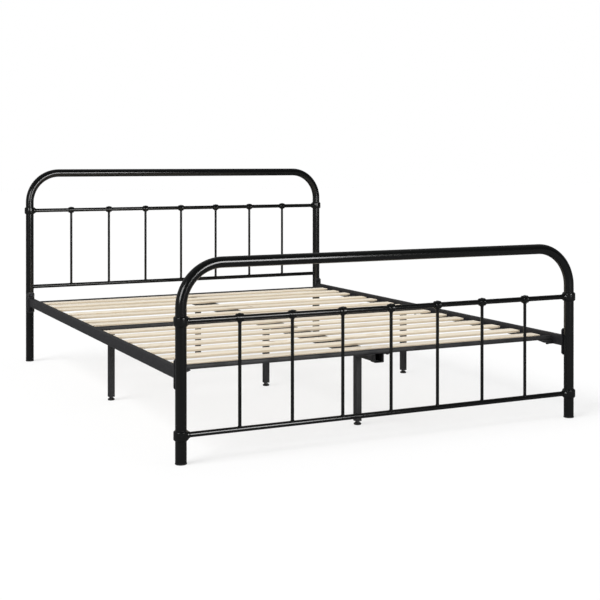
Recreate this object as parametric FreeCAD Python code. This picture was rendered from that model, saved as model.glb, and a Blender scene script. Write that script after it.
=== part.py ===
import FreeCAD, Part
import math
import os

# Metal bed frame. Millimetres, +Z up, +Y towards the head, origin on the floor under the middle.

V = FreeCAD.Vector
X_AXIS, Y_AXIS, Z_AXIS = V(1, 0, 0), V(0, 1, 0), V(0, 0, 1)

# ---- overall sizes
post_spacing = 1420.0        # between the post axes, across the bed
board_spacing = 1944.0       # between the head and foot hoops' planes
head_top_z = 832.5           # axis of the head hoop's top tube
foot_top_z = 586.0           # axis of the foot hoop's top tube

# ---- round tubes
hoop_d = 34.0
hoop_wall = 1.5
bend_r = 130.0               # hoop bend, on the tube's axis
rail_d = 16.5
rail_wall = 1.2
spindle_d = 10.5
spindle_wall = 1.0
spindle_count = 7
spindle_pitch = 174.5
head_upper_z = 666.5
head_lower_z = 329.5
foot_upper_z = 418.0
foot_lower_z = 84.0

# ---- castings on the boards
collar_height = 30.0
collar_wall = 5.3
collar_chamfer = 3.6
socket_reach = 27.0          # from the post's axis to the socket's mouth
socket_wall = 1.8
socket_inset = 1.0           # how far inside the collar's outside the socket's cone starts
socket_cone = 2.5            # length of that cone
knuckle_length = 24.0
knuckle_wall = 4.4
knuckle_waist = 1.1          # how much thinner the barrel is between its two beads
knuckle_bead = 6.5
knuckle_edge = 2.0           # end chamfer's length along the barrel
knuckle_edge_drop = 1.6      # and its depth
waist_slope = 1.0
neck_drop = 15.0             # from the rail's axis to the neck's end
neck_wall = 1.3
neck_lip = 1.0               # straight length at the neck's mouth
neck_flare = 1.0             # how much wider the neck is at the barrel
boss_d = 9.0
boss_rise = 1.2

# ---- side rails and what fastens them to the posts
side_rail_width = 18.0
side_rail_height = 36.0
side_rail_wall = 1.5
side_rail_top_z = 281.0
side_rail_offset = 1.0       # rail centre, inside the post's axis
plate_width = 32.0
plate_height = 92.0
plate_thick = 4.0
plate_chamfer = 6.0
plate_rise = 15.5            # from the side rail's underside to the plate's middle
rail_bolt_d = 8.0
rail_bolt_pitch = 64.0
rail_bolt_length = 22.0
rail_bolt_head_d = 13.0
rail_bolt_head = 5.3
rail_nut_d = 13.0
rail_nut_height = 6.0
bolt_chamfer = 1.0           # on the head of every bolt

# ---- deck: slats, ledges, cross rails
slat_width = 53.0
slat_thick = 8.0
slat_top_z = 271.0
slats_per_half = 7
first_slat_y = 101.0
last_slat_inset = 61.0       # end rail's axis to the axis of the slat beside it
slat_drift = {9: -25.0, 11: -25.0, 12: 13.0}     # slats that lie off their even places, along Y
slat_end_gap = 17.0          # slat end to the side rail's inner face
slat_round = 1.5
ledge_width = 30.0
ledge_drop = 16.0
ledge_thick = 2.5
cross_width = 20.0
cross_height = 13.0
mid_cross_height = 15.0
cross_wall = 1.5
cross_bottom_z = 259.5
end_rail_inset = 89.0        # end rail's axis to the hoop's plane

# ---- brackets, beam and cradles
bracket_width = 28.0
bracket_thick = 2.5
bracket_tab = 48.0
bracket_foot = 16.0          # width of a gusset at its lower end
bracket_bolt_inset = 13.0    # side rail's inner face to the tab's bolt
bracket_nut = 15.0           # length of the barrel nut under the tab
small_bolt_d = 6.0
small_bolt_head_d = 10.5
small_bolt_head = 4.2
small_bolt_grip = 1.6        # how far a shank goes into the tube wall that it fastens
beam_width = 30.0
beam_height = 30.0
beam_wall = 1.5
cradle_thick = 2.0
cradle_flange = 34.0
cradle_bolt_x = 38.0

# ---- support legs and levelling glides
leg_side = 22.0
leg_wall = 1.5
leg_bottom_z = 13.0
outer_leg_x = 629.0
beam_leg_inset = 134.0       # end rail's axis to the axis of the leg under the beam
glide_base_d = 26.0
glide_base_height = 7.0
glide_foot_chamfer = 2.0
glide_top_chamfer = 2.5
glide_neck_d = 16.0
glide_neck_height = 2.5
glide_stem_d = 8.0
glide_stem_top = 41.0
plug_depth = 20.0
cap_flange = 4.0
cap_lip = 0.8
cap_depth = 16.0
cap_chamfer = 1.5

# ---- clearances
weld_gap = 0.1               # coped tube end to the tube it is welded to
cast_gap = 0.15              # casting to the tube it sits on
plug_gap = 0.15              # plastic plug to the tube's bore
bolt_gap = 0.3               # bolt shank to its hole
thread_gap = 0.08            # glide stem to its threaded plug
ledge_gap = 1.0              # ledge's end to the bracket beside it

# ---- worked out from those
post_x = post_spacing / 2
board_y = board_spacing / 2
hoop_r = hoop_d / 2
rail_r = rail_d / 2
spindle_r = spindle_d / 2
rail_mid_x = post_x - side_rail_offset
rail_in_x = rail_mid_x - side_rail_width / 2
rail_out_x = rail_mid_x + side_rail_width / 2
side_rail_bottom_z = side_rail_top_z - side_rail_height
plate_mid_z = side_rail_bottom_z + plate_rise
plate_back_y = board_y - hoop_r - weld_gap
plate_face_y = plate_back_y - plate_thick
slat_bottom_z = slat_top_z - slat_thick
end_rail_y = board_y - end_rail_inset
slat_pitch = (end_rail_y - last_slat_inset - first_slat_y) / (slats_per_half - 1)
beam_bottom_z = slat_bottom_z - beam_height
beam_leg_y = end_rail_y - beam_leg_inset
beam_start_y = cross_width / 2 + weld_gap
beam_end_y = end_rail_y - cross_width / 2 - weld_gap
cradle_bottom_z = beam_bottom_z - cradle_thick
spindle_xs = [(i - (spindle_count - 1) / 2) * spindle_pitch for i in range(spindle_count)]
bolt_zs = [plate_mid_z - rail_bolt_pitch / 2, plate_mid_z + rail_bolt_pitch / 2]


# ---- small shapes

def rod(r, length, base, direction):
    return Part.makeCylinder(r, length, base, direction)


def tube(r, wall, length, base, direction):
    return rod(r, length, base, direction).cut(rod(r - wall, length, base, direction))


def block(x0, x1, y0, y1, z0, z1):
    return Part.makeBox(x1 - x0, y1 - y0, z1 - z0, V(x0, y0, z0))


def box_tube(x0, x1, y0, y1, z0, z1, wall, along):
    """A rectangular tube, open at both ends of the axis that along names."""
    gap = {"x": (0, wall, wall), "y": (wall, 0, wall), "z": (wall, wall, 0)}[along]
    inner = block(x0 + gap[0], x1 - gap[0], y0 + gap[1], y1 - gap[1], z0 + gap[2], z1 - gap[2])
    return block(x0, x1, y0, y1, z0, z1).cut(inner)


def turned(profile):
    """A solid turned about Z from (radius, height) points."""
    points = [V(r, 0, z) for r, z in profile]
    face = Part.Face(Part.makePolygon(points + points[:1]))
    return face.revolve(V(0, 0, 0), Z_AXIS, 360)


def placed(shape, base, direction=Z_AXIS):
    """A copy of a shape made about Z at the origin, turned to direction and moved to base."""
    copy = shape.copy()
    copy.Placement = FreeCAD.Placement(base, FreeCAD.Rotation(Z_AXIS, direction)).multiply(copy.Placement)
    return copy


def mirrored_x(shape):
    return shape.mirror(V(0, 0, 0), X_AXIS)


def mirrored_y(shape):
    return shape.mirror(V(0, 0, 0), Y_AXIS)


def four_corners(shape):
    pair = [shape, mirrored_x(shape)]
    return pair + [mirrored_y(s) for s in pair]


def bolt(d, head_d, head, length, base, direction):
    """A bolt whose head's underside is at base and whose shank runs along direction."""
    rim = head_d / 2
    return placed(turned([(0, -head), (rim - bolt_chamfer, -head), (rim, bolt_chamfer - head), (rim, 0),
                          (d / 2, 0), (d / 2, length), (0, length)]), base, direction)


def export(name, solids):
    if not isinstance(solids, list):
        solids = [solids]
    found = [solid for shape in solids for solid in shape.Solids]
    shape = found[0] if len(found) == 1 else Part.makeCompound(found)
    shape.exportStep("parts/" + name + ".step")
    print(name, len(found), "solids", round(sum(solid.Volume for solid in found)))


# ---- head and foot boards

def hoop_path(y, top_z, bottom_z):
    """The hoop's axis: up one post, round a bend, along the top and down again."""
    x, flat_x, post_z = post_x, post_x - bend_r, top_z - bend_r
    reach = bend_r * math.sqrt(0.5)
    return Part.Wire([
        Part.makeLine(V(-x, y, bottom_z), V(-x, y, post_z)),
        Part.Arc(V(-x, y, post_z), V(-flat_x - reach, y, post_z + reach), V(-flat_x, y, top_z)).toShape(),
        Part.makeLine(V(-flat_x, y, top_z), V(flat_x, y, top_z)),
        Part.Arc(V(flat_x, y, top_z), V(flat_x + reach, y, post_z + reach), V(x, y, post_z)).toShape(),
        Part.makeLine(V(x, y, post_z), V(x, y, bottom_z))])


def hoop(side, top_z):
    """The bent tube of one board, with the rail bolts' holes in its inner wall."""
    y = side * board_y
    path = hoop_path(y, top_z, cap_flange)
    start = V(-post_x, y, cap_flange)
    skins = [path.makePipe(Part.Face(Part.Wire(Part.makeCircle(r, start, Z_AXIS))))
             for r in (hoop_r, hoop_r - hoop_wall)]
    solid = skins[0].cut(skins[1])
    for x in (-post_x, post_x):
        for z in bolt_zs:
            solid = solid.cut(rod(rail_bolt_d / 2 + bolt_gap, hoop_r, V(x, y, z), Y_AXIS * -side))
    return solid


def board_rail(side, z):
    """A rail between the posts, its ends coped to them."""
    y = side * board_y
    solid = tube(rail_r, rail_wall, post_spacing, V(-post_x, y, z), X_AXIS)
    for x in (-post_x, post_x):
        solid = solid.cut(rod(hoop_r + weld_gap, 4 * rail_d, V(x, y, z - 2 * rail_d), Z_AXIS))
    return solid


def spindle(side, x, low_z, high_z):
    """A spindle between two rails, its ends coped to them."""
    y = side * board_y
    solid = tube(spindle_r, spindle_wall, high_z - low_z, V(x, y, low_z), Z_AXIS)
    for z in (low_z, high_z):
        solid = solid.cut(rod(rail_r + weld_gap, 4 * spindle_d, V(x - 2 * spindle_d, y, z), X_AXIS))
    return solid


def collar(side, hand, z):
    """A casting round a post, with a socket that the rail's end goes into."""
    inner, outer, half = hoop_r + cast_gap, hoop_r + collar_wall, collar_height / 2
    ring = turned([(inner, -half), (outer - collar_chamfer, -half), (outer, collar_chamfer - half),
                   (outer, half - collar_chamfer), (outer - collar_chamfer, half), (inner, half)])
    mouth, cone_start = rail_r + socket_wall, outer - socket_inset
    socket = turned([(0, hoop_r), (mouth + collar_chamfer, hoop_r), (mouth + collar_chamfer, cone_start),
                     (mouth, cone_start + socket_cone), (mouth, socket_reach), (0, socket_reach)])
    solid = ring.fuse(placed(socket, V(0, 0, 0), X_AXIS * -hand))
    solid = solid.cut(rod(inner, 2 * collar_height, V(0, 0, -collar_height), Z_AXIS))
    solid = solid.cut(rod(rail_r + cast_gap, 2 * socket_reach, V(0, 0, 0), X_AXIS * -hand))
    return placed(solid, V(hand * post_x, side * board_y, z))


def knuckle(side, x, z):
    """A casting round the upper rail that holds the top of one spindle."""
    half, bore = knuckle_length / 2, rail_r + cast_gap
    bead, waist = rail_r + knuckle_wall, rail_r + knuckle_wall - knuckle_waist
    end_r, inside = bead - knuckle_edge_drop, half - knuckle_bead
    barrel = turned([(bore, -half), (end_r, -half), (bead, knuckle_edge - half), (bead, -inside),
                     (waist, waist_slope - inside), (waist, inside - waist_slope), (bead, inside),
                     (bead, half - knuckle_edge), (end_r, half), (bore, half)])
    barrel = placed(barrel, V(0, 0, 0), X_AXIS)
    neck_r, root_r = spindle_r + neck_wall, spindle_r + neck_wall + neck_flare
    neck = turned([(0, -neck_drop), (neck_r, -neck_drop), (neck_r, neck_lip - neck_drop),
                   (root_r, -rail_r - neck_lip), (root_r, 0), (0, 0)])
    boss = rod(boss_d / 2, bead + boss_rise, V(0, 0, 0), Z_AXIS)
    solid = barrel.fuse([neck, boss]).cut(rod(bore, 2 * knuckle_length, V(-knuckle_length, 0, 0), X_AXIS))
    solid = solid.cut(rod(spindle_r + cast_gap, 2 * neck_drop, V(0, 0, -2 * neck_drop), Z_AXIS))
    return placed(solid, V(x, side * board_y, z))


# ---- frame between the boards

def end_plate():
    """The upright plate of the right-hand rail at the head, against the post."""
    half_w, half_h, c = plate_width / 2, plate_height / 2, plate_chamfer
    corners = [(-half_w + c, -half_h), (half_w - c, -half_h), (half_w, c - half_h), (half_w, half_h - c),
               (half_w - c, half_h), (-half_w + c, half_h), (-half_w, half_h - c), (-half_w, c - half_h)]
    points = [V(post_x + x, plate_face_y, plate_mid_z + z) for x, z in corners]
    solid = Part.Face(Part.makePolygon(points + points[:1])).extrude(V(0, plate_thick, 0))
    for z in bolt_zs:
        solid = solid.cut(rod(rail_bolt_d / 2 + bolt_gap, plate_thick, V(post_x, plate_face_y, z), Y_AXIS))
    return solid


def rail_nut(z):
    """A nut welded inside the post, behind the bolt's hole."""
    base = V(post_x, board_y - hoop_r + hoop_wall, z)
    solid = rod(rail_nut_d / 2, rail_nut_height, base, Y_AXIS)
    solid = solid.cut(rod(rail_bolt_d / 2 + thread_gap, rail_nut_height, base, Y_AXIS))
    bore = rod(hoop_r - hoop_wall - weld_gap, 2 * rail_nut_d, V(post_x, board_y, z - rail_nut_d), Z_AXIS)
    return solid.common(bore)


def side_rail(hand):
    x0, x1 = sorted((hand * rail_in_x, hand * rail_out_x))
    half = plate_face_y
    return box_tube(x0, x1, -half, half, side_rail_bottom_z, side_rail_top_z, side_rail_wall, "y")


def ledge():
    """One angle strip on the right-hand rail, from the middle cross rail to the head end rail."""
    y0, y1 = bracket_width / 2 + ledge_gap, end_rail_y - bracket_width / 2 - ledge_gap
    flange = block(rail_in_x - ledge_width, rail_in_x, y0, y1, slat_bottom_z - ledge_thick, slat_bottom_z)
    web = block(rail_in_x - ledge_thick, rail_in_x, y0, y1, slat_bottom_z - ledge_drop, slat_bottom_z)
    return flange.fuse(web).removeSplitter()


def cross_rail(y, height):
    half, top_z = cross_width / 2, cross_bottom_z + height
    return box_tube(-rail_in_x, rail_in_x, y - half, y + half, cross_bottom_z, top_z, cross_wall, "x")


def corner_bracket(y):
    """A pressed bracket welded to the right-hand side rail: a tab, a back and a gusset at each side."""
    t, half, tip_x = bracket_thick, bracket_width / 2, rail_in_x - bracket_tab
    tab = block(tip_x, rail_in_x, y - half, y + half, cross_bottom_z - t, cross_bottom_z)
    back = block(rail_in_x - t, rail_in_x, y - half, y + half, side_rail_bottom_z, cross_bottom_z)
    outline = [(tip_x, cross_bottom_z), (tip_x, cross_bottom_z - t), (rail_in_x - bracket_foot, side_rail_bottom_z),
               (rail_in_x, side_rail_bottom_z), (rail_in_x, cross_bottom_z)]
    gussets = []
    for start_y in (y - half, y + half - t):
        points = [V(x, start_y, z) for x, z in outline]
        gussets.append(Part.Face(Part.makePolygon(points + points[:1])).extrude(V(0, t, 0)))
    return tab.fuse([back] + gussets).removeSplitter()


def small_bolt(x, y, z, grip, head=small_bolt_head):
    """A bolt, or a bolt with its barrel nut, that goes up from z, the underside of what it holds."""
    return bolt(small_bolt_d, small_bolt_head_d, head, grip, V(x, y, z), Z_AXIS)


def drilled_up(shape, x, y, z, depth):
    return shape.cut(rod(small_bolt_d / 2 + bolt_gap, depth + bolt_gap, V(x, y, z), Z_AXIS))


def cradle(y):
    """A strap under the beam, with a flange at each side bolted up to a cross rail."""
    t, half, inner = cradle_thick, bracket_width / 2, beam_width / 2
    floor = block(-inner - t, inner + t, y - half, y + half, cradle_bottom_z, beam_bottom_z)
    parts = []
    for x0, x1 in ((inner, inner + t), (-inner - t, -inner)):
        parts.append(block(x0, x1, y - half, y + half, cradle_bottom_z, cross_bottom_z))
    for x0, x1 in ((inner, inner + cradle_flange), (-inner - cradle_flange, -inner)):
        parts.append(block(x0, x1, y - half, y + half, cross_bottom_z - t, cross_bottom_z))
    return floor.fuse(parts).removeSplitter()


def slat(y):
    end_x, half = rail_in_x - slat_end_gap, slat_width / 2
    solid = block(-end_x, end_x, y - half, y + half, slat_bottom_z, slat_top_z)
    long_edges = [e for e in solid.Edges if abs(e.tangentAt(e.FirstParameter).x) > 0.99]
    return solid.makeFillet(slat_round, long_edges)


# ---- support legs

def leg(x, y, top_z):
    half = leg_side / 2
    solid = block(x - half, x + half, y - half, y + half, leg_bottom_z, top_z)
    inner = half - leg_wall
    return solid.cut(block(x - inner, x + inner, y - inner, y + inner, leg_bottom_z, top_z - leg_wall))


def leg_plug(x, y):
    half = leg_side / 2 - leg_wall - plug_gap
    solid = block(x - half, x + half, y - half, y + half, leg_bottom_z, leg_bottom_z + plug_depth)
    return solid.cut(rod(glide_stem_d / 2 + thread_gap, plug_depth, V(x, y, leg_bottom_z), Z_AXIS))


def glide(x, y):
    """A moulded foot, its neck and the stem that screws up into the leg's plug."""
    base, neck, stem = glide_base_d / 2, glide_neck_d / 2, glide_stem_d / 2
    foot, top = glide_foot_chamfer, glide_top_chamfer
    shoulder, neck_top = glide_base_height, glide_base_height + glide_neck_height
    profile = [(0, 0), (base - foot, 0), (base, foot), (base, shoulder - top), (base - top, shoulder),
               (neck, shoulder), (neck, neck_top), (stem, neck_top), (stem, glide_stem_top), (0, glide_stem_top)]
    return placed(turned(profile), V(x, y, 0))


def post_cap():
    """The cap of the right-hand head post: a flange under the tube and a plug in its bore."""
    outer, plug = hoop_r + cap_lip, hoop_r - hoop_wall - plug_gap
    return placed(turned([(0, 0), (outer - cap_chamfer, 0), (outer, cap_chamfer), (outer, cap_flange),
                          (plug, cap_flange), (plug, cap_flange + cap_depth), (0, cap_flange + cap_depth)]),
                  V(post_x, board_y, 0))


# ---- build

os.makedirs("parts", exist_ok=True)

boards = (("head", 1, head_top_z, head_upper_z, head_lower_z),
          ("foot", -1, foot_top_z, foot_upper_z, foot_lower_z))
knuckles = []
for name, side, top_z, upper_z, lower_z in boards:
    export(name + "_hoop", hoop(side, top_z))
    export(name + "_upper_rail", board_rail(side, upper_z))
    export(name + "_lower_rail", board_rail(side, lower_z))
    for number, x in enumerate(spindle_xs, 1):
        export(name + "_spindle_" + str(number), spindle(side, x, lower_z, upper_z))
        knuckles.append(knuckle(side, x, upper_z))
export("spindle_knuckles", knuckles)
collared_rails = ((1, head_upper_z), (-1, foot_upper_z), (-1, foot_lower_z))
export("post_collars", [collar(side, hand, z) for side, z in collared_rails for hand in (-1, 1)])

export("side_rail_left", side_rail(-1))
export("side_rail_right", side_rail(1))
export("rail_end_plates", four_corners(end_plate()))
rail_fasteners = []
for z in bolt_zs:
    base = V(post_x, plate_face_y, z)
    screw = bolt(rail_bolt_d, rail_bolt_head_d, rail_bolt_head, rail_bolt_length, base, Y_AXIS)
    rail_fasteners += four_corners(screw) + four_corners(rail_nut(z))
export("rail_bolts", rail_fasteners)
export("slat_ledges", four_corners(ledge()))

bracket_bolts, brackets, cradles = [], [], []
tab_bolt_x = rail_in_x - bracket_bolt_inset
cross_rails = (("foot_end_rail", -end_rail_y, cross_height), ("mid_cross_rail", 0.0, mid_cross_height),
               ("head_end_rail", end_rail_y, cross_height))
for name, y, height in cross_rails:
    rail = cross_rail(y, height)
    corner = corner_bracket(y)
    cup = cradle(y)
    for x in (tab_bolt_x, -tab_bolt_x):
        rail = drilled_up(rail, x, y, cross_bottom_z, small_bolt_grip)
    corner = drilled_up(corner, tab_bolt_x, y, cross_bottom_z - bracket_thick, bracket_thick)
    screw = small_bolt(tab_bolt_x, y, cross_bottom_z - bracket_thick, bracket_thick + cross_wall, bracket_nut)
    bracket_bolts += [screw, mirrored_x(screw)]
    brackets += [corner, mirrored_x(corner)]
    for x in (cradle_bolt_x, -cradle_bolt_x):
        rail = drilled_up(rail, x, y, cross_bottom_z, small_bolt_grip)
        cup = drilled_up(cup, x, y, cross_bottom_z - cradle_thick, cradle_thick)
        bracket_bolts.append(small_bolt(x, y, cross_bottom_z - cradle_thick, cradle_thick + cross_wall))
    cradles.append(cup)
    export(name, rail)
export("corner_brackets", brackets)
export("beam_cradles", cradles)
export("bracket_bolts", bracket_bolts)

for name, side in (("centre_beam_foot", -1), ("centre_beam_head", 1)):
    y0, y1 = sorted((side * beam_start_y, side * beam_end_y))
    half = beam_width / 2
    export(name, box_tube(-half, half, y0, y1, beam_bottom_z, slat_bottom_z, beam_wall, "y"))

slat_ys = [first_slat_y + i * slat_pitch for i in range(slats_per_half)]
slat_ys = [-y for y in reversed(slat_ys)] + slat_ys
for number, y in enumerate(slat_ys, 1):
    export("slat_" + str(number), slat(y + slat_drift.get(number, 0.0)))

legs = (("mid_left", -outer_leg_x, 0.0, cross_bottom_z), ("mid_centre", 0.0, 0.0, cradle_bottom_z),
        ("mid_right", outer_leg_x, 0.0, cross_bottom_z), ("foot_centre", 0.0, -beam_leg_y, beam_bottom_z),
        ("head_centre", 0.0, beam_leg_y, beam_bottom_z))
plugs = four_corners(post_cap())
for name, x, y, top_z in legs:
    export(name + "_leg", leg(x, y, top_z))
    export(name + "_glide", glide(x, y))
    plugs.append(leg_plug(x, y))
export("tube_end_plugs", plugs)
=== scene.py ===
import math
import random

import bpy
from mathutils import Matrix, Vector


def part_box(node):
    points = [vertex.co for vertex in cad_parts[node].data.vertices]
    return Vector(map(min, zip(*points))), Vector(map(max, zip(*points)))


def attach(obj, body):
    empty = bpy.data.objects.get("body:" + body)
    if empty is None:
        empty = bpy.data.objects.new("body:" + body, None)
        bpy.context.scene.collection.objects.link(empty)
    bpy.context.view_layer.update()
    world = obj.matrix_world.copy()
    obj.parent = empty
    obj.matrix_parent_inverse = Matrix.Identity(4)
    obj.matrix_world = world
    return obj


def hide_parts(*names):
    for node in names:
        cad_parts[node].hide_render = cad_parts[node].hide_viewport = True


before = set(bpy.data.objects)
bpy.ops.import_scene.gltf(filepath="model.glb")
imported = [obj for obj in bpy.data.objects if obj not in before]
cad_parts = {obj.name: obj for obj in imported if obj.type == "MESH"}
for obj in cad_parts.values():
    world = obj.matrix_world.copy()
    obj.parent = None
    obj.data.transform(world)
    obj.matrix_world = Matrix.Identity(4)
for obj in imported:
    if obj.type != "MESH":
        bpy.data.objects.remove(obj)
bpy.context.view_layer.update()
mm = 0.001


# ---- Camera
# A long lens, a little higher than the head board. It looks almost level and its view is shifted down, so
# the posts stay upright and parallel.
eye = (-1.874, -4.163, 0.886)
heading = math.radians(25.92)     # from +Y towards +X
dip = 0.0025                      # radians below level

bpy.ops.object.camera_add(location=eye, rotation=(math.pi / 2 - dip, 0, -heading))
camera = bpy.context.object
camera.data.sensor_width = 36
camera.data.lens = 69.42
camera.data.shift_y = -0.2267
bpy.context.scene.camera = camera
bpy.context.scene.view_settings.view_transform = "Standard"


# ---- Studio
# A white floor and a white surround, as for a catalogue. A broad even light from the upper left gives the
# soft shadows, and two white cards that only the gloss sees give the tubes their streaks.

def linear(colour):
    """The linear RGBA of an sRGB hex colour."""
    parts = [int(colour[i:i + 2], 16) / 255 for i in (1, 3, 5)]
    return [c / 12.92 if c <= 0.04045 else ((c + 0.055) / 1.055) ** 2.4 for c in parts] + [1]


def add_node(tree, kind, inputs=(), **settings):
    """Adds a node. inputs pairs each socket with a value, or with the output that it follows."""
    made = tree.nodes.new(kind)
    for name, value in settings.items():
        setattr(made, name, value)
    for socket, value in inputs:
        if isinstance(value, bpy.types.NodeSocket):
            tree.links.new(value, made.inputs[socket])
        else:
            made.inputs[socket].default_value = value
    return made


def new_material(name):
    """A material with an empty tree, and that tree."""
    made = bpy.data.materials.new(name)
    made.use_nodes = True
    made.node_tree.nodes.clear()
    return made, made.node_tree


# the floor glows a little, but in the gloss it is only a dull grey
floor_size = 60.0
bpy.ops.mesh.primitive_plane_add(size=floor_size)
floor = bpy.context.object
floor.name = "studio_floor"
floor_paint, tree = new_material("white_floor_sheet")
ray = add_node(tree, "ShaderNodeLightPath")
in_gloss = ray.outputs["Is Glossy Ray"]
lift = add_node(tree, "ShaderNodeMapRange", [("Value", in_gloss), ("To Min", 0.67), ("To Max", 0.0)])
dull = add_node(tree, "ShaderNodeMapRange", [("Value", in_gloss), ("To Min", 0.26), ("To Max", 0.14)])
paint = add_node(tree, "ShaderNodeBsdfDiffuse", [("Color", dull.outputs[0])])
glow = add_node(tree, "ShaderNodeEmission", [("Strength", lift.outputs[0])])
both = add_node(tree, "ShaderNodeAddShader", [(0, paint.outputs[0]), (1, glow.outputs[0])])
add_node(tree, "ShaderNodeOutputMaterial", [("Surface", both.outputs[0])])
floor.data.materials.append(floor_paint)

surround = bpy.data.worlds.new("white_surround")
surround.use_nodes = True
bpy.context.scene.world = surround
tree = surround.node_tree
tree.nodes.clear()
ray = add_node(tree, "ShaderNodeLightPath")
direction = add_node(tree, "ShaderNodeTexCoord")
parts = add_node(tree, "ShaderNodeSeparateXYZ", [("Vector", direction.outputs["Generated"])])
# gloss sees it dim behind the camera and brighter behind the bed
gloss = add_node(tree, "ShaderNodeMapRange", [
    ("Value", parts.outputs["Y"]), ("From Min", -0.6), ("From Max", 0.9), ("To Min", 0.02), ("To Max", 0.28)])
even = add_node(tree, "ShaderNodeMix", [
    ("Factor", ray.outputs["Is Glossy Ray"]), ("A", 0.62), ("B", gloss.outputs[0])])
seen = add_node(tree, "ShaderNodeMix", [
    ("Factor", ray.outputs["Is Camera Ray"]), ("A", even.outputs[0]), ("B", 1.0)])
sky = add_node(tree, "ShaderNodeBackground", [("Color", (1, 1, 1, 1)), ("Strength", seen.outputs[0])])
add_node(tree, "ShaderNodeOutputWorld", [("Surface", sky.outputs[0])])


def aim(place, target):
    """The turn that makes a light at place face target."""
    return (Vector(target) - Vector(place)).to_track_quat("-Z", "Y").to_euler()


sun_place = (-3.5, -0.8, 3.5)
bpy.ops.object.light_add(type="SUN", location=sun_place, rotation=aim(sun_place, (0, 0, 0)))
soft_light = bpy.context.object
soft_light.name = "soft_light"
soft_light.data.energy = 3.2
soft_light.data.angle = math.radians(38)
soft_light.visible_glossy = False

# name, place, what it faces, width and height in metres, and power in watts
gloss_cards = (("front_card", (0.70, -4.1, 1.1), (-0.4, -0.97, 0.6), (1.4, 1.2), 76),
               ("left_card", (-3.6, -2.9, 1.5), (-0.7, -0.97, 0.5), (1.5, 1.5), 60))
for name, place, target, size, power in gloss_cards:
    bpy.ops.object.light_add(type="AREA", location=place, rotation=aim(place, target))
    card = bpy.context.object
    card.name = name
    card.data.shape = "RECTANGLE"
    card.data.size, card.data.size_y = size
    card.data.energy = power
    card.visible_diffuse = False
    card.visible_camera = False


# ---- Head and foot hoops
# One steel tube for each board, bent cold over a round former and cut square at the floor. The coat is
# black polyester powder, sprayed on and baked: satin, with a faint orange peel.

def noise(tree, place, size, detail):
    """The value of a noise whose lumps are about size across, in metres."""
    made = add_node(tree, "ShaderNodeTexNoise", [("Vector", place), ("Scale", 1 / size), ("Detail", detail)])
    return made.outputs["Fac"]


def blend_colours(tree, factor, first, second):
    """The colour that goes from first to second as factor goes from 0 to 1."""
    inputs = [("Factor", factor), ("A", first), ("B", second)]
    made = add_node(tree, "ShaderNodeMix", inputs, data_type="RGBA")
    return made.outputs["Result"]


def uneven(tree, value, level, spread):
    """A roughness that follows value, from spread below level to spread above it."""
    made = add_node(tree, "ShaderNodeMapRange", [
        ("Value", value), ("To Min", level - spread), ("To Max", level + spread)])
    return made.outputs[0]


def powder_coat(name, deep, pale, roughness, spread, peel, peel_depth, patch):
    """Baked polyester powder: two close blacks in patches, under a fine peel. Sizes in metres."""
    made, tree = new_material(name)
    place = add_node(tree, "ShaderNodeTexCoord").outputs["Object"]
    tint = blend_colours(tree, noise(tree, place, patch, 3.0), linear(deep), linear(pale))
    grain = noise(tree, place, peel, 2.0)
    bump = add_node(tree, "ShaderNodeBump", [("Height", grain), ("Distance", peel_depth)])
    coat = add_node(tree, "ShaderNodeBsdfPrincipled", [
        ("Base Color", tint), ("Roughness", uneven(tree, grain, roughness, spread)),
        ("Normal", bump.outputs[0])])
    add_node(tree, "ShaderNodeOutputMaterial", [("Surface", coat.outputs[0])])
    return made


satin_powder = powder_coat("satin_black_powder_coat", "#070808", "#0f1010", roughness=0.17, spread=0.03,
                           peel=1.6 * mm, peel_depth=0.004 * mm, patch=70 * mm)


def deselect():
    """Leaves no object selected."""
    bpy.ops.object.select_all(action="DESELECT")


def keep_only(piece):
    """Makes piece the only selected object, and the active one."""
    deselect()
    piece.select_set(True)
    bpy.context.view_layer.objects.active = piece


def edit(piece, kind="VERT"):
    """Opens piece in edit mode with nothing selected."""
    keep_only(piece)
    bpy.ops.object.mode_set(mode="EDIT")
    bpy.ops.mesh.select_mode(type=kind)
    bpy.ops.mesh.select_all(action="DESELECT")


def pick(piece, test):
    """In edit mode, selects the faces, edges or vertices for which test is true."""
    kind = bpy.context.tool_settings.mesh_select_mode
    bpy.ops.object.mode_set(mode="OBJECT")
    mesh = piece.data
    group = mesh.polygons if kind[2] else mesh.edges if kind[1] else mesh.vertices
    for item in group:
        item.select = test(item)
    bpy.ops.object.mode_set(mode="EDIT")


def close_edit():
    """Goes back to object mode."""
    bpy.ops.object.mode_set(mode="OBJECT")


def apply_modifier(piece, kind, **settings):
    """Adds a modifier to piece and applies it at once."""
    keep_only(piece)
    made = piece.modifiers.new(kind.lower(), kind)
    for name, value in settings.items():
        setattr(made, name, value)
    bpy.ops.object.modifier_apply(modifier=made.name)


def smooth(piece, angle=35):
    """Shades piece smooth, except at edges sharper than angle, in degrees."""
    keep_only(piece)
    bpy.ops.object.shade_smooth_by_angle(angle=math.radians(angle))


def settle(piece, name, material, body="bed_frame", nodes=()):
    """Puts a finished piece's place into its mesh, gives it its name, finish and body, and hides the CAD
    nodes it replaces.
    """
    keep_only(piece)
    bpy.ops.object.transform_apply(location=True, rotation=True, scale=True)
    piece.name = name
    piece.data.name = name
    piece.data.materials.clear()
    piece.data.materials.append(material)
    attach(piece, body)
    if nodes:
        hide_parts(*nodes)


def tidy_skin(piece):
    """In edit mode, closes seams and poles and points every face outwards."""
    bpy.ops.mesh.select_all(action="SELECT")
    bpy.ops.mesh.remove_doubles(threshold=0.001 * mm)
    bpy.ops.mesh.normals_make_consistent(inside=False)
    close_edit()


hoop_steps = 56                   # round the tube
bend_steps = 28
bend_radius = 130 * mm
hoop_wall = 1.5 * mm


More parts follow.
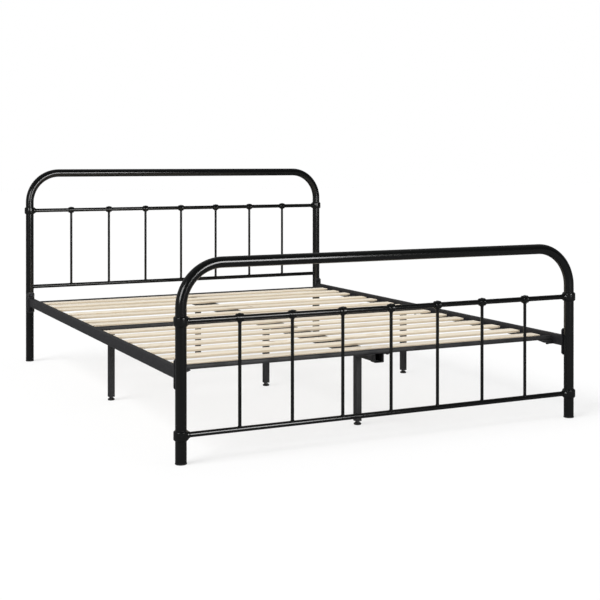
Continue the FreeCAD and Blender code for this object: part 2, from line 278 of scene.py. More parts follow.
def bend_hoop(board):
    """Draws a ring up one post, round the bend, along the top and down the other post."""
    low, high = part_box(board + "_hoop")
    radius = (high.y - low.y) / 2
    post_x, y, top = high.x - radius, (low.y + high.y) / 2, high.z - radius
    bend_x, bend_z = post_x - bend_radius, top - bend_radius
    deselect()
    bpy.ops.mesh.primitive_circle_add(vertices=hoop_steps, radius=radius, location=(-post_x, y, low.z))
    piece = bpy.context.object
    bpy.ops.object.mode_set(mode="EDIT")
    bpy.ops.mesh.select_all(action="SELECT")
    for run, pivot in (((0, 0, bend_z - low.z), -bend_x), ((2 * bend_x, 0, 0), bend_x)):
        bpy.ops.mesh.extrude_region_move(TRANSFORM_OT_translate={"value": run})
        bpy.ops.mesh.spin(steps=bend_steps, angle=math.pi / 2, center=(pivot, y, bend_z), axis=(0, -1, 0))
    bpy.ops.mesh.extrude_region_move(TRANSFORM_OT_translate={"value": (0, 0, low.z - bend_z)})
    tidy_skin(piece)
    apply_modifier(piece, "SOLIDIFY", thickness=hoop_wall, offset=-1)
    smooth(piece)
    settle(piece, board + "_bent_hoop", satin_powder, nodes=[board + "_hoop"])


for board in ("head", "foot"):
    bend_hoop(board)
hoop_low, hoop_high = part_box("head_hoop")
hoop_radius = (hoop_high.y - hoop_low.y) / 2
post_x = hoop_high.x - hoop_radius
board_y = hoop_high.y - hoop_radius
sides = {"head": board_y, "foot": -board_y}


# ---- Board rails
# Two straight steel tubes between the posts of each board. Three end inside the collars. The head
# board's lower one has no collars: its ends are cut to fit round the posts and welded there.

rail_wall = 1.2 * mm
weld_gap = 0.1 * mm
rails = [board + level for board in ("head", "foot") for level in ("_upper_rail", "_lower_rail")]
rail_radius = (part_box(rails[0])[1].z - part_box(rails[0])[0].z) / 2


def middle(node):
    """The centre of a node's box."""
    low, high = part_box(node)
    return (low + high) / 2


def straight_tube(node, wall, steps):
    """An open tube of a node's size and place, along its longest side."""
    low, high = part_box(node)
    size = high - low
    turn, length = ((0, math.pi / 2, 0), size.x) if size.x > size.z else ((0, 0, 0), size.z)
    deselect()
    bpy.ops.mesh.primitive_cylinder_add(vertices=steps, radius=size.y / 2, depth=length, rotation=turn,
                                        location=middle(node), end_fill_type="NOTHING")
    piece = bpy.context.object
    apply_modifier(piece, "SOLIDIFY", thickness=wall, offset=-1)
    return piece


def rod(radius, length, place, turn=(0, 0, 0), steps=48):
    """A plain rod, which only cuts or joins another piece."""
    deselect()
    bpy.ops.mesh.primitive_cylinder_add(vertices=steps, radius=radius, depth=length, rotation=turn,
                                        location=place)
    return bpy.context.object


def combine(piece, other, operation):
    """Cuts piece with other, or unites them, and takes other away."""
    apply_modifier(piece, "BOOLEAN", operation=operation, solver="EXACT", object=other)
    bpy.data.objects.remove(other)


for node in rails:
    rail = straight_tube(node, rail_wall, 40)
    for x in (-post_x, post_x):
        combine(rail, rod(hoop_radius + weld_gap, 6 * rail_radius, (x, *middle(node).yz)), "DIFFERENCE")
    smooth(rail)
    settle(rail, node.replace("_rail", "_cross_tube"), satin_powder, nodes=[node])


# ---- Spindles
# Seven thin steel tubes in each board. The top of each one goes up into its knuckle, and its foot is cut
# to fit over the lower rail and welded, with a small fillet that the powder softens.

spindle_wall = 1.0 * mm
spindle_numbers = range(1, 8)
spindle_radius = (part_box("head_spindle_1")[1].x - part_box("head_spindle_1")[0].x) / 2
lay_along_x = (0, math.pi / 2, 0)
weld_leg = 1.7 * mm               # how far a weld reaches along the trunk
weld_rise = 2.2 * mm              # and up the tube
weld_toe = 0.4 * mm               # the weld's thickness at its top


def copy_of(piece, move=(0, 0, 0), half_turn=False):
    """A copy with a mesh of its own, moved, and first turned to the other side if half_turn."""
    keep_only(piece)
    bpy.ops.object.duplicate()
    made = bpy.context.object
    if half_turn:
        bpy.ops.transform.rotate(value=math.pi, orient_axis="Z", center_override=(0, 0, 0))
    bpy.ops.transform.translate(value=move)
    return made


def draw_wire(points):
    """Draws a line of edges from point to point, closed where it comes back to its start."""
    deselect()
    bpy.ops.mesh.primitive_plane_add(size=mm)
    piece = bpy.context.object
    bpy.ops.object.mode_set(mode="EDIT")
    bpy.ops.mesh.select_mode(type="VERT")
    bpy.ops.mesh.select_all(action="SELECT")
    bpy.ops.mesh.merge(type="CENTER")
    bpy.ops.transform.translate(value=points[0])
    for last, point in zip(points, points[1:]):
        bpy.ops.mesh.extrude_region_move(TRANSFORM_OT_translate={"value": point - last})
    bpy.ops.mesh.select_all(action="SELECT")
    bpy.ops.mesh.remove_doubles(threshold=0.001 * mm)
    return piece


def turn_profile(profile, soften, steps=48):
    """Draws (radius, height) points as a wire, rounds its corners by soften and spins it round Z."""
    piece = draw_wire([Vector((radius, 0, height)) for radius, height in profile])
    pick(piece, lambda corner: corner.co.x > 0.01 * mm)
    bpy.ops.mesh.bevel(offset=soften, segments=3, affect="VERTICES")
    bpy.ops.mesh.select_all(action="SELECT")
    bpy.ops.mesh.spin(steps=steps, angle=2 * math.pi, center=(0, 0, 0), axis=(0, 0, 1))
    tidy_skin(piece)
    return piece


def weld_ring(tube_radius, trunk_radius, place, turn):
    """The fillet where a tube that stands on place, the trunk's axis, meets the trunk."""
    top, inner, outer = trunk_radius + weld_rise, tube_radius - weld_toe, tube_radius + weld_leg
    piece = turn_profile([
        (inner, 0), (outer, 0), (outer, top - 6 * weld_toe), (tube_radius + weld_toe, top - 2 * weld_toe),
        (tube_radius, top), (inner, top), (inner, 0)], 0.15 * mm, steps=32)
    piece.rotation_euler = turn
    keep_only(piece)
    bpy.ops.object.transform_apply(location=False, rotation=True, scale=False)
    piece.location = place
    trunk_turn = (0, 0, 0) if turn[1] else lay_along_x
    combine(piece, rod(trunk_radius, 8 * tube_radius, place, trunk_turn, steps=64), "DIFFERENCE")
    smooth(piece)
    return piece


for board, y in sides.items():
    first = board + "_spindle_1"
    pattern = straight_tube(first, spindle_wall, 28)
    for rail in ("_upper_rail", "_lower_rail"):
        z = middle(board + rail).z
        cutter = rod(rail_radius + weld_gap, 6 * spindle_radius, (middle(first).x, y, z), lay_along_x)
        combine(pattern, cutter, "DIFFERENCE")
    smooth(pattern)
    foot = Vector((middle(first).x, y, middle(board + "_lower_rail").z))
    weld = weld_ring(spindle_radius, rail_radius, foot, (0, 0, 0))
    for number in spindle_numbers:
        node = f"{board}_spindle_{number}"
        step = middle(node) - middle(first)
        settle(copy_of(pattern, step), f"{board}_upright_{number}", satin_powder, nodes=[node])
        settle(copy_of(weld, step), f"{board}_upright_weld_{number}", satin_powder)
    bpy.data.objects.remove(pattern)
    bpy.data.objects.remove(weld)

for x, turn in ((-post_x, math.pi / 2), (post_x, -math.pi / 2)):
    end = Vector((x, board_y, middle("head_lower_rail").z))
    weld = weld_ring(rail_radius, hoop_radius, end, (0, turn, 0))
    settle(weld, "head_tube_weld_" + ("left" if x < 0 else "right"), satin_powder)


# ---- Knuckles
# Fourteen small castings that hold the tops of the spindles on the upper rails: a barrel with a bead at
# each end, a neck below and a boss on top. Their edges are soft, as sand-cast edges are under powder.

cast_gap = 0.15 * mm
knuckle_half = 12 * mm
bead = rail_radius + 4.4 * mm
waist = bead - 1.1 * mm
bead_width = 6.5 * mm
neck_radius = spindle_radius + 1.3 * mm
neck_end = -15 * mm

pattern = turn_profile([
    (0, -knuckle_half), (bead - 1.6 * mm, -knuckle_half), (bead, 2 * mm - knuckle_half),
    (bead, bead_width - knuckle_half), (waist, bead_width + mm - knuckle_half),
    (waist, knuckle_half - bead_width - mm), (bead, knuckle_half - bead_width), (bead, knuckle_half - 2 * mm),
    (bead - 1.6 * mm, knuckle_half), (0, knuckle_half)], 0.6 * mm)
pattern.rotation_euler = lay_along_x
keep_only(pattern)
bpy.ops.object.transform_apply(location=False, rotation=True, scale=False)
neck = turn_profile([
    (0, neck_end), (neck_radius, neck_end), (neck_radius, neck_end + mm),
    (neck_radius + mm, -rail_radius - mm), (neck_radius + mm, 0), (0, 0)], 0.5 * mm, steps=36)
boss_radius = 4.5 * mm
boss_top = bead + 1.2 * mm
boss = turn_profile([(0, 0), (boss_radius, 0), (boss_radius, boss_top), (0, boss_top)], 0.6 * mm, steps=28)
combine(pattern, neck, "UNION")
combine(pattern, boss, "UNION")
combine(pattern, rod(rail_radius + cast_gap, 4 * knuckle_half, (0, 0, 0), lay_along_x), "DIFFERENCE")
socket_depth = 2 * abs(neck_end)
combine(pattern, rod(spindle_radius + cast_gap, socket_depth, (0, 0, -socket_depth / 2)), "DIFFERENCE")
smooth(pattern, 40)
for board in sides:
    for number in spindle_numbers:
        place = middle(f"{board}_spindle_{number}")
        place.z = middle(board + "_upper_rail").z
        piece = copy_of(pattern, place)
        settle(piece, f"{board}_knuckle_{number}", satin_powder, nodes=["spindle_knuckles"])
bpy.data.objects.remove(pattern)


# ---- Collars
# Six castings that slip over the posts, each with a socket that a rail's end goes into. They are held by
# a screw from inside the board before the powder goes on, so no fastener shows.

collar_half = 15 * mm
collar_radius = hoop_radius + 5.3 * mm
collar_slope = 3.6 * mm
socket_radius = rail_radius + 1.8 * mm
socket_end = 27 * mm
socket_root = collar_radius - mm

collar_lip = collar_radius - collar_slope
pattern = turn_profile([
    (0, -collar_half), (collar_lip, -collar_half), (collar_radius, collar_slope - collar_half),
    (collar_radius, collar_half - collar_slope), (collar_lip, collar_half),
    (0, collar_half)], 0.9 * mm, steps=64)
socket = turn_profile([
    (0, 0), (socket_radius + collar_slope, 0), (socket_radius + collar_slope, socket_root),
    (socket_radius, socket_root + 2.5 * mm), (socket_radius, socket_end), (0, socket_end)], 0.6 * mm)
socket.rotation_euler = lay_along_x
combine(pattern, socket, "UNION")
combine(pattern, rod(hoop_radius + cast_gap, 4 * collar_half, (0, 0, 0), steps=64), "DIFFERENCE")
bore_end = Vector((socket_end, 0, 0))
combine(pattern, rod(rail_radius + cast_gap, 2 * socket_end, bore_end, lay_along_x), "DIFFERENCE")
smooth(pattern, 40)
for rail in ("head_upper_rail", "foot_upper_rail", "foot_lower_rail"):
    for hand, x in (("left", -post_x), ("right", post_x)):
        place = (x, *middle(rail).yz)
        piece = copy_of(pattern, place, half_turn=x > 0)
        name = rail.replace("_rail", "_collar_") + hand
        settle(piece, name, satin_powder, nodes=["post_collars"])
bpy.data.objects.remove(pattern)


# ---- Box section frame
# Two side rails, three cross rails and two centre beams of rectangular steel tube. Their coat is a coarser
# powder that bakes with a fine dry texture, so it looks greyer and flatter than the boards.

textured_powder = powder_coat("textured_black_powder_coat", "#0c0c0d", "#29292c", roughness=0.5, spread=0.12,
                              peel=2.2 * mm, peel_depth=0.12 * mm, patch=9 * mm)
tube_corner = 2 * mm
tube_wall = 1.5 * mm


def block(size, place):
    """A plain block of a size, with its middle at place, to be cut or rounded."""
    deselect()
    bpy.ops.mesh.primitive_cube_add(size=1, location=place)
    bpy.ops.transform.resize(value=size)
    bpy.ops.object.transform_apply(location=True, rotation=True, scale=True)
    return bpy.context.object


def edge_run(piece, edge, along):
    """How far an edge runs along one axis."""
    first, second = (piece.data.vertices[corner].co[along] for corner in edge.vertices)
    return abs(first - second)


def box_tube(low, high, along):
    """A block with its two ends taken off, its long edges rounded and its walls thickened inwards."""
    piece = block(high - low, (low + high) / 2)
    edit(piece, "FACE")
    pick(piece, lambda face: abs(face.normal[along]) > 0.9)
    bpy.ops.mesh.delete(type="FACE")
    bpy.ops.mesh.select_mode(type="EDGE")
    pick(piece, lambda edge: edge_run(piece, edge, along) > mm)
    bpy.ops.mesh.bevel(offset=tube_corner, segments=4)
    close_edit()
    apply_modifier(piece, "SOLIDIFY", thickness=tube_wall, offset=-1)
    smooth(piece)
    return piece


def box_tube_for(node, along, name):
    """The tube that takes a node's place."""
    settle(box_tube(*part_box(node), along), name, textured_powder, nodes=[node])


for hand in ("left", "right"):
    box_tube_for("side_rail_" + hand, 1, f"{hand}_side_tube")
for node in ("foot_end_rail", "mid_cross_rail", "head_end_rail"):
    box_tube_for(node, 0, node.replace("_rail", "_tube"))
for end in ("foot", "head"):
    box_tube_for("centre_beam_" + end, 1, end + "_centre_tube")
side_low, side_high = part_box("side_rail_right")
cross_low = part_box("mid_cross_rail")[0]


# ---- End plates and rail bolts
# A cut steel plate is welded across each end of a side rail, and two hex-socket bolts draw it against the
# post, into nuts welded inside it. The bolts are blackened steel, a little bluer than the powder.

plate_low, plate_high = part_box("rail_end_plates")
plate_back = plate_high.y
plate_thick = 4 * mm
plate_width = 32 * mm
plate_mid = (plate_low.z + plate_high.z) / 2
plate_chamfer = 6 * mm
bolt_radius = 4 * mm
bolt_hole = bolt_radius + 0.3 * mm
bolt_rise = 32 * mm               # bolt to the plate's middle
stand_on_y = (math.pi / 2, 0, 0)
plate = block((plate_width, plate_thick, plate_high.z - plate_low.z), (0, -plate_thick / 2, 0))
edit(plate, "EDGE")
pick(plate, lambda edge: edge_run(plate, edge, 1) > mm)
bpy.ops.mesh.bevel(offset=plate_chamfer, segments=1)
close_edit()
for rise in (-bolt_rise, bolt_rise):
    combine(plate, rod(bolt_hole, 4 * plate_thick, (0, 0, rise), stand_on_y), "DIFFERENCE")
apply_modifier(plate, "BEVEL", width=0.5 * mm, segments=2, limit_method="ANGLE", angle_limit=math.radians(40))
smooth(plate)


def weld_frame(width, height, bead_radius=1.4 * mm):
    """A bead round the end of a box tube, flat at the origin: a rounded outline given a round section."""
    deselect()
    bpy.ops.mesh.primitive_plane_add(size=1)
    piece = bpy.context.object
    bpy.ops.transform.resize(value=(width, height, 1))
    bpy.ops.object.transform_apply(location=True, rotation=True, scale=True)
    bpy.ops.object.mode_set(mode="EDIT")
    bpy.ops.mesh.bevel(offset=tube_corner, segments=4, affect="VERTICES")
    bpy.ops.mesh.select_all(action="SELECT")
    bpy.ops.mesh.delete(type="ONLY_FACE")
    close_edit()
    bpy.ops.object.convert(target="CURVE")
    piece.data.bevel_depth = bead_radius
    piece.data.bevel_resolution = 2
    bpy.ops.object.convert(target="MESH")
    smooth(piece, 60)
    return piece


rail_weld = weld_frame(side_high.x - side_low.x, side_high.z - side_low.z)
rail_weld.rotation_euler = stand_on_y
keep_only(rail_weld)
bpy.ops.object.transform_apply(location=True, rotation=True, scale=True)
rail_end = Vector(((side_low.x + side_high.x) / 2, side_high.y, (side_low.z + side_high.z) / 2))


def bare_metal(name, deep, pale, patch, roughness, spread):
    """Steel with a thin chemical skin: two close tones in a cloudy bloom, each with its own sheen."""
    made, tree = new_material(name)
    place = add_node(tree, "ShaderNodeTexCoord").outputs["Object"]
    bloom = noise(tree, place, patch, 3.0)
    metal = add_node(tree, "ShaderNodeBsdfPrincipled", [
        ("Base Color", blend_colours(tree, bloom, linear(deep), linear(pale))), ("Metallic", 1.0),
        ("Roughness", uneven(tree, bloom, roughness, spread))])
    add_node(tree, "ShaderNodeOutputMaterial", [("Surface", metal.outputs[0])])
    return made


black_oxide = bare_metal("black_oxide_steel", "#2c2d31", "#3d3e42", patch=4 * mm, roughness=0.38, spread=0.1)


def socket_bolt(head_radius, head, shank_radius, length):
    """A hex-socket bolt about Z: the head's underside at the origin, the shank upwards."""
    tip = 0.6 * mm
    piece = turn_profile([
        (0, -head), (head_radius - mm, -head), (head_radius, mm - head), (head_radius, 0), (shank_radius, 0),
        (shank_radius, length - tip), (shank_radius - tip, length), (0, length)], 0.25 * mm, steps=32)
    combine(piece, rod(0.5 * head_radius, head, (0, 0, -head), steps=6), "DIFFERENCE")
    smooth(piece)
    return piece


def lean_to_y(piece):
    """Turns a piece made about Z to lie about Y, its top towards the head."""
    keep_only(piece)
    piece.rotation_euler = (-math.pi / 2, 0, 0)
    bpy.ops.object.transform_apply(location=False, rotation=True, scale=False)
    return piece


rail_bolt = lean_to_y(socket_bolt(head_radius=6.5 * mm, head=5.3 * mm, shank_radius=bolt_radius,
                                  length=22 * mm))
nut_bore = bolt_radius + 0.1 * mm
nut_radius = 6.3 * mm
nut_height = 5.6 * mm
nut = lean_to_y(turn_profile([
    (nut_bore, 0), (nut_radius, 0), (nut_radius, nut_height), (nut_bore, nut_height), (nut_bore, 0)],
    0.4 * mm, steps=24))
smooth(nut)
nut_y = board_y - hoop_radius + hoop_wall + 0.4 * mm


def fit_corners(piece, name, place, material, nodes=()):
    """Puts a copy of a piece at each of the four corners. place is its place at the head's right one."""
    x, y, z = place
    for board, end in (("head", 1), ("foot", -1)):
        for hand, sign in (("left", -1), ("right", 1)):
            made = copy_of(piece, (sign * x, end * y, z), half_turn=end < 0)
            settle(made, f"{board}_{hand}_{name}", material, nodes=nodes)


fit_corners(plate, "end_plate", (post_x, plate_back, plate_mid), textured_powder,
            ["rail_end_plates"])
fit_corners(rail_weld, "rail_weld", rail_end, textured_powder)
for number, rise in enumerate((-bolt_rise, bolt_rise), 1):
    z = plate_mid + rise
    for piece, name, y in ((rail_bolt, "rail_bolt", plate_back - plate_thick), (nut, "rail_nut", nut_y)):
        fit_corners(piece, f"{name}_{number}", (post_x, y, z), black_oxide, ["rail_bolts"])
for piece in (plate, rail_weld, rail_bolt, nut):
    bpy.data.objects.remove(piece)


# ---- Brackets, cradles and ledges
# Pressed and folded steel, powder coated like the rails. Brackets are welded inside the side rails and take
# the cross rails' ends, cradles hang the centre beam, and the ledges carry the slats' ends.

def ease_edges(piece):
    """Takes the sharpness off the edges of cut sheet."""
    sharp = math.radians(50)
    apply_modifier(piece, "BEVEL", width=0.3 * mm, segments=2, limit_method="ANGLE", angle_limit=sharp)
    smooth(piece)


def folded_strip(points, thickness, y0, y1, fold):
    """Draws (x, z) points as a wire, rounds its folds, draws it out along Y and gives it its thickness."""
    places = [Vector((x, y0, z)) for x, z in points]
    piece = draw_wire(places)
    ends = (places[0], places[-1])
    pick(piece, lambda corner: min((corner.co - end).length for end in ends) > 0.01 * mm)
    bpy.ops.mesh.bevel(offset=fold, segments=4, affect="VERTICES")
    bpy.ops.mesh.select_all(action="SELECT")
    bpy.ops.mesh.extrude_region_move(TRANSFORM_OT_translate={"value": (0, y1 - y0, 0)})
    tidy_skin(piece)
    apply_modifier(piece, "SOLIDIFY", thickness=thickness, offset=0)
    ease_edges(piece)
    return piece


strip_width = 28 * mm
bracket_thick = 2.5 * mm
tab = 48 * mm
gusset_foot = 16 * mm
outline = [(-tab, cross_low.z), (-tab, cross_low.z - bracket_thick), (-gusset_foot, side_low.z),
           (0, side_low.z), (0, cross_low.z), (-tab, cross_low.z)]
bracket = draw_wire([Vector((side_low.x + x, -strip_width / 2, z)) for x, z in outline])
bpy.ops.mesh.select_all(action="SELECT")
bpy.ops.mesh.edge_face_add()
bpy.ops.mesh.extrude_region_move(TRANSFORM_OT_translate={"value": (0, strip_width, 0)})
tidy_skin(bracket)
# hollowed from below, which leaves the tab, the back and a gusset at each side
hollow = Vector((2 * tab, strip_width - 2 * bracket_thick, 2 * tab))
hollow_corner = Vector((side_low.x - bracket_thick, 0, cross_low.z - bracket_thick))
cutter = block(hollow, hollow_corner - Vector((hollow.x, 0, hollow.z)) / 2)
combine(bracket, cutter, "DIFFERENCE")
ease_edges(bracket)

fold = 2 * mm
beam_low, beam_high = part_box("centre_beam_head")
cradle_thick = 2 * mm
wing_x = beam_high.x + 34 * mm
wall_x = beam_high.x + cradle_thick / 2
wing_z = cross_low.z - cradle_thick / 2
seat_z = beam_low.z - cradle_thick / 2
cradle = folded_strip([
    (-wing_x, wing_z), (-wall_x, wing_z), (-wall_x, seat_z), (wall_x, seat_z), (wall_x, wing_z),
    (wing_x, wing_z)], cradle_thick, -strip_width / 2, strip_width / 2, fold)

# under a bracket's tab the bolt ends in a barrel nut, and under a cradle's wings in its own head
screw_head = 5.25 * mm
screw_radius = 3 * mm
screws = {
    "bracket": (socket_bolt(screw_head, head=15 * mm, shank_radius=screw_radius, length=4 * mm),
                side_low.x - 13 * mm, bracket_thick),
    "cradle": (socket_bolt(screw_head, head=4.2 * mm, shank_radius=screw_radius, length=3.5 * mm),
               38 * mm, cradle_thick)}
for end, node in (("foot", "foot_end_rail"), ("mid", "mid_cross_rail"), ("head", "head_end_rail")):
    y = middle(node).y
    for hand, sign in (("left", -1), ("right", 1)):
        piece = copy_of(bracket, (0, y, 0), half_turn=sign < 0)
        settle(piece, f"{end}_{hand}_bracket", textured_powder, nodes=["corner_brackets"])
        for use, (screw, x, sheet) in screws.items():
            piece = copy_of(screw, (sign * x, y, cross_low.z - sheet))
            settle(piece, f"{end}_{hand}_{use}_bolt", black_oxide, nodes=["bracket_bolts"])
    piece = copy_of(cradle, (0, y, 0))
    settle(piece, end + "_beam_cradle", textured_powder, nodes=["beam_cradles"])

# an angle: its top carries the slats, and its back lies against the side rail
slat_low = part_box("slat_1")[0]
ledge_thick = 2.5 * mm
ledge_width = 30 * mm
ledge_drop = 16 * mm
ledge_back = side_low.x - ledge_thick / 2
ledge_top = slat_low.z - ledge_thick / 2
ledge_start = strip_width / 2 + mm
ledge_end = middle("head_end_rail").y - strip_width / 2 - mm
ledge = folded_strip([
    (side_low.x - ledge_width, ledge_top), (ledge_back, ledge_top), (ledge_back, slat_low.z - ledge_drop)],
    ledge_thick, ledge_start, ledge_end, fold)
# drawn at the head's right: a half turn takes it to the foot's left, and a step along the bed to the others
ledge_step = ledge_start + ledge_end
for end, hand, step, half_turn in (("head", "right", 0, False), ("foot", "right", -ledge_step, False),
                                   ("head", "left", ledge_step, True), ("foot", "left", 0, True)):
    piece = copy_of(ledge, (0, step, 0), half_turn)
    settle(piece, f"{end}_{hand}_ledge", textured_powder, nodes=["slat_ledges"])
for piece in (bracket, cradle, ledge, screws["bracket"][0], screws["cradle"][0]):
    bpy.data.objects.remove(piece)


# ---- Slats
# Fourteen softwood boards, sawn from the side of the log, planed, with their long edges eased. They are
# bare wood: pale and matt, with growth lines that run along the board and a few small knots.

def drawn_out(tree, spot, scale):
    """A place stretched by scale along each axis, which draws a pattern out along the board."""
    return add_node(tree, "ShaderNodeMapping", [("Vector", spot), ("Scale", scale)]).outputs[0]


def vector_step(tree, operation, first, second, result=0):
    """One step of vector arithmetic."""
    made = add_node(tree, "ShaderNodeVectorMath", [(0, first), (1, second)], operation=operation)
    return made.outputs[result]


def number_step(tree, operation, first, second=0.0):
    """One step of arithmetic."""
    return add_node(tree, "ShaderNodeMath", [(0, first), (1, second)], operation=operation).outputs[0]


def ramp(tree, value, settings, kind="LINEAR"):
    """A number that follows value between the limits that settings give."""
    inputs = [("Value", value)] + settings
    return add_node(tree, "ShaderNodeMapRange", inputs, interpolation_type=kind).outputs[0]


def planed_softwood(name, ring_step):
    """Rings about a pith below each board, drawn out along X, with fibre streaks and a few small knots."""
    made, tree = new_material(name)
    here = add_node(tree, "ShaderNodeTexCoord").outputs["Object"]
    board_place = add_node(tree, "ShaderNodeAttribute", attribute_name="log_place").outputs["Vector"]
    spot = vector_step(tree, "ADD", here, board_place)
    # the log's long wander, about 25 mm either way
    drawn = drawn_out(tree, spot, (1.6, 5.0, 5.0))
    wander = add_node(tree, "ShaderNodeTexNoise", [("Vector", drawn), ("Scale", 1.0), ("Detail", 1.0)])
    shift = vector_step(tree, "SUBTRACT", wander.outputs["Color"], (0.5, 0.5, 0.5))
    shift = vector_step(tree, "MULTIPLY", shift, (0.0, 0.10, 0.10))
    parts = add_node(tree, "ShaderNodeSeparateXYZ", [("Vector", vector_step(tree, "ADD", spot, shift))])
    flat = add_node(tree, "ShaderNodeCombineXYZ", [("Y", parts.outputs["Y"]), ("Z", parts.outputs["Z"])])
    reach = vector_step(tree, "LENGTH", flat.outputs[0], (0, 0, 0), "Value")
    ring = number_step(tree, "FRACT", number_step(tree, "MULTIPLY", reach, 1 / ring_step))
    late = ramp(tree, ring, [("From Min", 0.35), ("From Max", 0.95)], "SMOOTHSTEP")
    fibre = noise(tree, drawn_out(tree, spot, (5.0, 420.0, 420.0)), 1.0, 3.0)
    cloud = noise(tree, drawn_out(tree, spot, (2.2, 26.0, 26.0)), 1.0, 2.0)
    tone = blend_colours(tree, cloud, linear("#dad1c0"), linear("#efe8da"))
    rings = blend_colours(tree, number_step(tree, "MULTIPLY", late, 0.55), tone, linear("#ceba99"))
    streak = ramp(tree, fibre, [("From Min", 0.5), ("From Max", 0.8), ("To Max", 0.5)])
    streaked = blend_colours(tree, streak, rings, linear("#bea885"))
    # boards differ at random in tone, and the long sides that face along Y get a painted shade, warmer and
    # darker than the top
    shade = add_node(tree, "ShaderNodeAttribute", attribute_name="board_shade").outputs["Fac"]
    faded = blend_colours(tree, shade, streaked, linear("#c6bbab"))
    normal = add_node(tree, "ShaderNodeNewGeometry").outputs["True Normal"]
    facing = add_node(tree, "ShaderNodeSeparateXYZ", [("Vector", normal)]).outputs["Y"]
    sideways = number_step(tree, "ABSOLUTE", facing)
    # painted shade: faces turned along Y are mixed towards a warmer, darker tan
    painted_side_shade = ramp(tree, sideways, [("From Min", 0.5), ("From Max", 0.9), ("To Max", 0.35)])
    side_shaded = blend_colours(tree, painted_side_shade, faded, linear("#cfb384"))
    # one knot in each cell of about 900 by 385 mm, so only a few of the boards have one
    knot_place = drawn_out(tree, spot, (1.1, 2.6, 0.0))
    cell = add_node(tree, "ShaderNodeTexVoronoi", [("Vector", knot_place), ("Scale", 1.0)],
                    voronoi_dimensions="2D")
    knot_edge = [("From Min", 0.008), ("From Max", 0.022), ("To Min", 0.75), ("To Max", 0.0)]
    knot = ramp(tree, cell.outputs["Distance"], knot_edge, "SMOOTHSTEP")
    knotted = blend_colours(tree, knot, side_shaded, linear("#6f4a2a"))
    rise = add_node(tree, "ShaderNodeBump", [("Height", fibre), ("Distance", 0.05 * mm)])
    dull = ramp(tree, late, [("To Min", 0.62), ("To Max", 0.52)])
    wood = add_node(tree, "ShaderNodeBsdfPrincipled", [
        ("Base Color", knotted), ("Roughness", dull), ("IOR", 1.5), ("Normal", rise.outputs[0])])
    add_node(tree, "ShaderNodeOutputMaterial", [("Surface", wood.outputs[0])])
    return made


# about twice as coarse as real rings, so that they show
softwood = planed_softwood("bare_planed_softwood", ring_step=5 * mm)
eased_edge = 1.5 * mm
slat_count = 14
picker = random.Random(5)
for number in range(1, slat_count + 1):
    node = f"slat_{number}"
    low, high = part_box(node)
    slat = block(high - low, (low + high) / 2)
    edit(slat, "EDGE")
    pick(slat, lambda edge: edge_run(slat, edge, 0) > mm)
    bpy.ops.mesh.bevel(offset=eased_edge, segments=3)
    close_edit()
    apply_modifier(slat, "BEVEL", width=0.3 * mm, segments=1, limit_method="ANGLE",
                   angle_limit=math.radians(60))
    smooth(slat)
    # where the board lay in its log: along it, and how far the pith is to the side and below
    lay = (picker.uniform(-40, 40), picker.uniform(-0.05, 0.05) - middle(node).y,
           picker.uniform(0.03, 0.07) - high.z)
    log_place = slat.data.attributes.new("log_place", "FLOAT_VECTOR", "POINT")
    corner_count = len(slat.data.vertices)
    log_place.data.foreach_set("vector", lay * corner_count)
    board_shade = slat.data.attributes.new("board_shade", "FLOAT", "POINT")
    board_shade.data.foreach_set("value", [picker.uniform(0.0, 0.35)] * corner_count)
    settle(slat, f"board_{number}", softwood, nodes=[node])


# ---- Legs and glides
# Five square steel legs are welded under the rails and the centre beam. Each has a plastic plug in its
# foot, and a moulded glide on a zinc-plated stem that screws up and down in it to level the bed.

def moulded_plastic(name, deep, pale, grain_size, grain_depth, roughness, spread):
    """Glass-filled nylon from a spark-eroded mould: near black, with a fine even matt grain."""
    made, tree = new_material(name)
    place = add_node(tree, "ShaderNodeTexCoord").outputs["Object"]
    grain = noise(tree, place, grain_size, 2.0)
    bump = add_node(tree, "ShaderNodeBump", [("Height", grain), ("Distance", grain_depth)])
    plastic = add_node(tree, "ShaderNodeBsdfPrincipled", [
        ("Base Color", blend_colours(tree, grain, linear(deep), linear(pale))),
        ("Roughness", uneven(tree, grain, roughness, spread)), ("IOR", 1.53), ("Normal", bump.outputs[0])])
    add_node(tree, "ShaderNodeOutputMaterial", [("Surface", plastic.outputs[0])])
    return made


black_nylon = moulded_plastic("moulded_black_nylon", "#131313", "#202021", grain_size=0.8 * mm,
                              grain_depth=0.03 * mm, roughness=0.5, spread=0.06)
# bright zinc is a cool silver
bright_zinc = bare_metal("bright_zinc_plate", "#a4a7ad", "#c9ccd2", patch=3 * mm, roughness=0.3, spread=0.08)

leg_side = 22 * mm
leg_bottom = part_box("mid_left_leg")[0].z
plug_depth = 20 * mm
stem_radius = 4 * mm
plug_side = leg_side - 2 * tube_wall - 0.3 * mm
plug = block((plug_side, plug_side, plug_depth), (0, 0, leg_bottom + plug_depth / 2))
combine(plug, rod(stem_radius + 0.1 * mm, 2 * plug_depth, (0, 0, leg_bottom), steps=32), "DIFFERENCE")
apply_modifier(plug, "BEVEL", width=0.8 * mm, segments=3, limit_method="ANGLE", angle_limit=math.radians(60))
smooth(plug)

glide_radius = 13 * mm
glide_shoulder = 7 * mm
glide_neck = 8 * mm
neck_top = glide_shoulder + 2.5 * mm
glide_foot = turn_profile([
    (0, 0), (glide_radius - 2 * mm, 0), (glide_radius, 2 * mm), (glide_radius, glide_shoulder - 2.5 * mm),
    (glide_radius - 2.5 * mm, glide_shoulder), (glide_neck, glide_shoulder), (glide_neck, neck_top),
    (0, neck_top)], 0.5 * mm)
smooth(glide_foot)

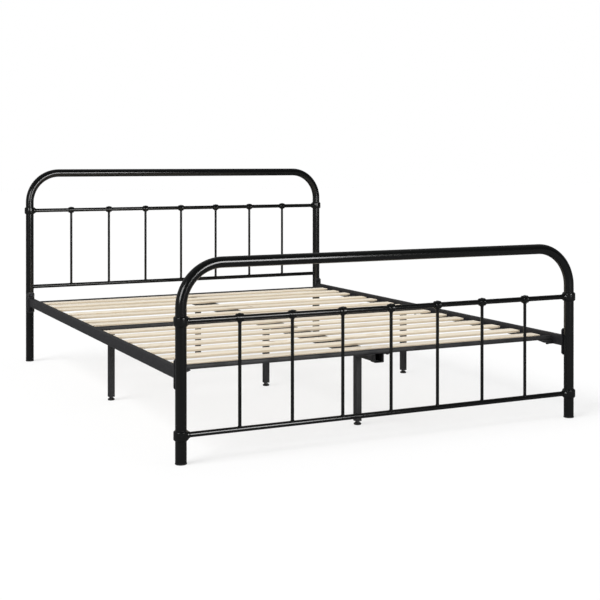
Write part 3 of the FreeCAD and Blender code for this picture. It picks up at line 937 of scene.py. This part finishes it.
# the thread, as one ring for each turn
thread_pitch = 1.25 * mm
thread_depth = 0.6 * mm
stem_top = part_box("mid_left_glide")[1].z
thread_turns = int((stem_top - neck_top) / thread_pitch) - 1
outline = [(0, neck_top - mm), (stem_radius - thread_depth, neck_top - mm)]
for turn in range(thread_turns + 1):
    z = neck_top + turn * thread_pitch
    outline += [(stem_radius - thread_depth, z), (stem_radius, z + thread_pitch / 2)]
outline += [(stem_radius - thread_depth, stem_top), (0, stem_top)]
stem = turn_profile(outline, 0.08 * mm, steps=24)
smooth(stem)
leg_weld = weld_frame(leg_side, leg_side)

for leg in ("mid_left", "mid_centre", "mid_right", "foot_centre", "head_centre"):
    low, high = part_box(leg + "_leg")
    spot = Vector(((low.x + high.x) / 2, (low.y + high.y) / 2, 0))
    glide_body = leg + "_glide"
    piece = box_tube(low, high, 2)
    settle(piece, leg + "_leg_tube", textured_powder, nodes=[leg + "_leg"])
    piece = copy_of(leg_weld, spot + Vector((0, 0, high.z)))
    settle(piece, leg + "_leg_weld", textured_powder)
    piece = copy_of(plug, spot)
    settle(piece, leg + "_leg_plug", black_nylon, nodes=["tube_end_plugs"])
    piece = copy_of(glide_foot, spot)
    settle(piece, leg + "_glide_foot", black_nylon, glide_body, [leg + "_glide"])
    piece = copy_of(stem, spot)
    settle(piece, leg + "_glide_stem", bright_zinc, glide_body)
for piece in (plug, glide_foot, stem, leg_weld):
    bpy.data.objects.remove(piece)


# ---- Post caps
# A moulded cap is pressed into the foot of each of the four posts, so that steel never meets the floor.

cap_flange = hoop_low.z
cap_radius = hoop_radius + 0.8 * mm
cap_plug = hoop_radius - hoop_wall - 0.15 * mm
cap_chamfer = 1.5 * mm
cap_top = cap_flange + 16 * mm
cap = turn_profile([
    (0, 0), (cap_radius - cap_chamfer, 0), (cap_radius, cap_chamfer), (cap_radius, cap_flange),
    (cap_plug, cap_flange), (cap_plug, cap_top), (0, cap_top)], 0.3 * mm, steps=56)
smooth(cap)
for board, y in sides.items():
    for hand, x in (("left", -post_x), ("right", post_x)):
        settle(copy_of(cap, (x, y, 0)), f"{board}_{hand}_post_cap", black_nylon,
               nodes=["tube_end_plugs"])
bpy.data.objects.remove(cap)
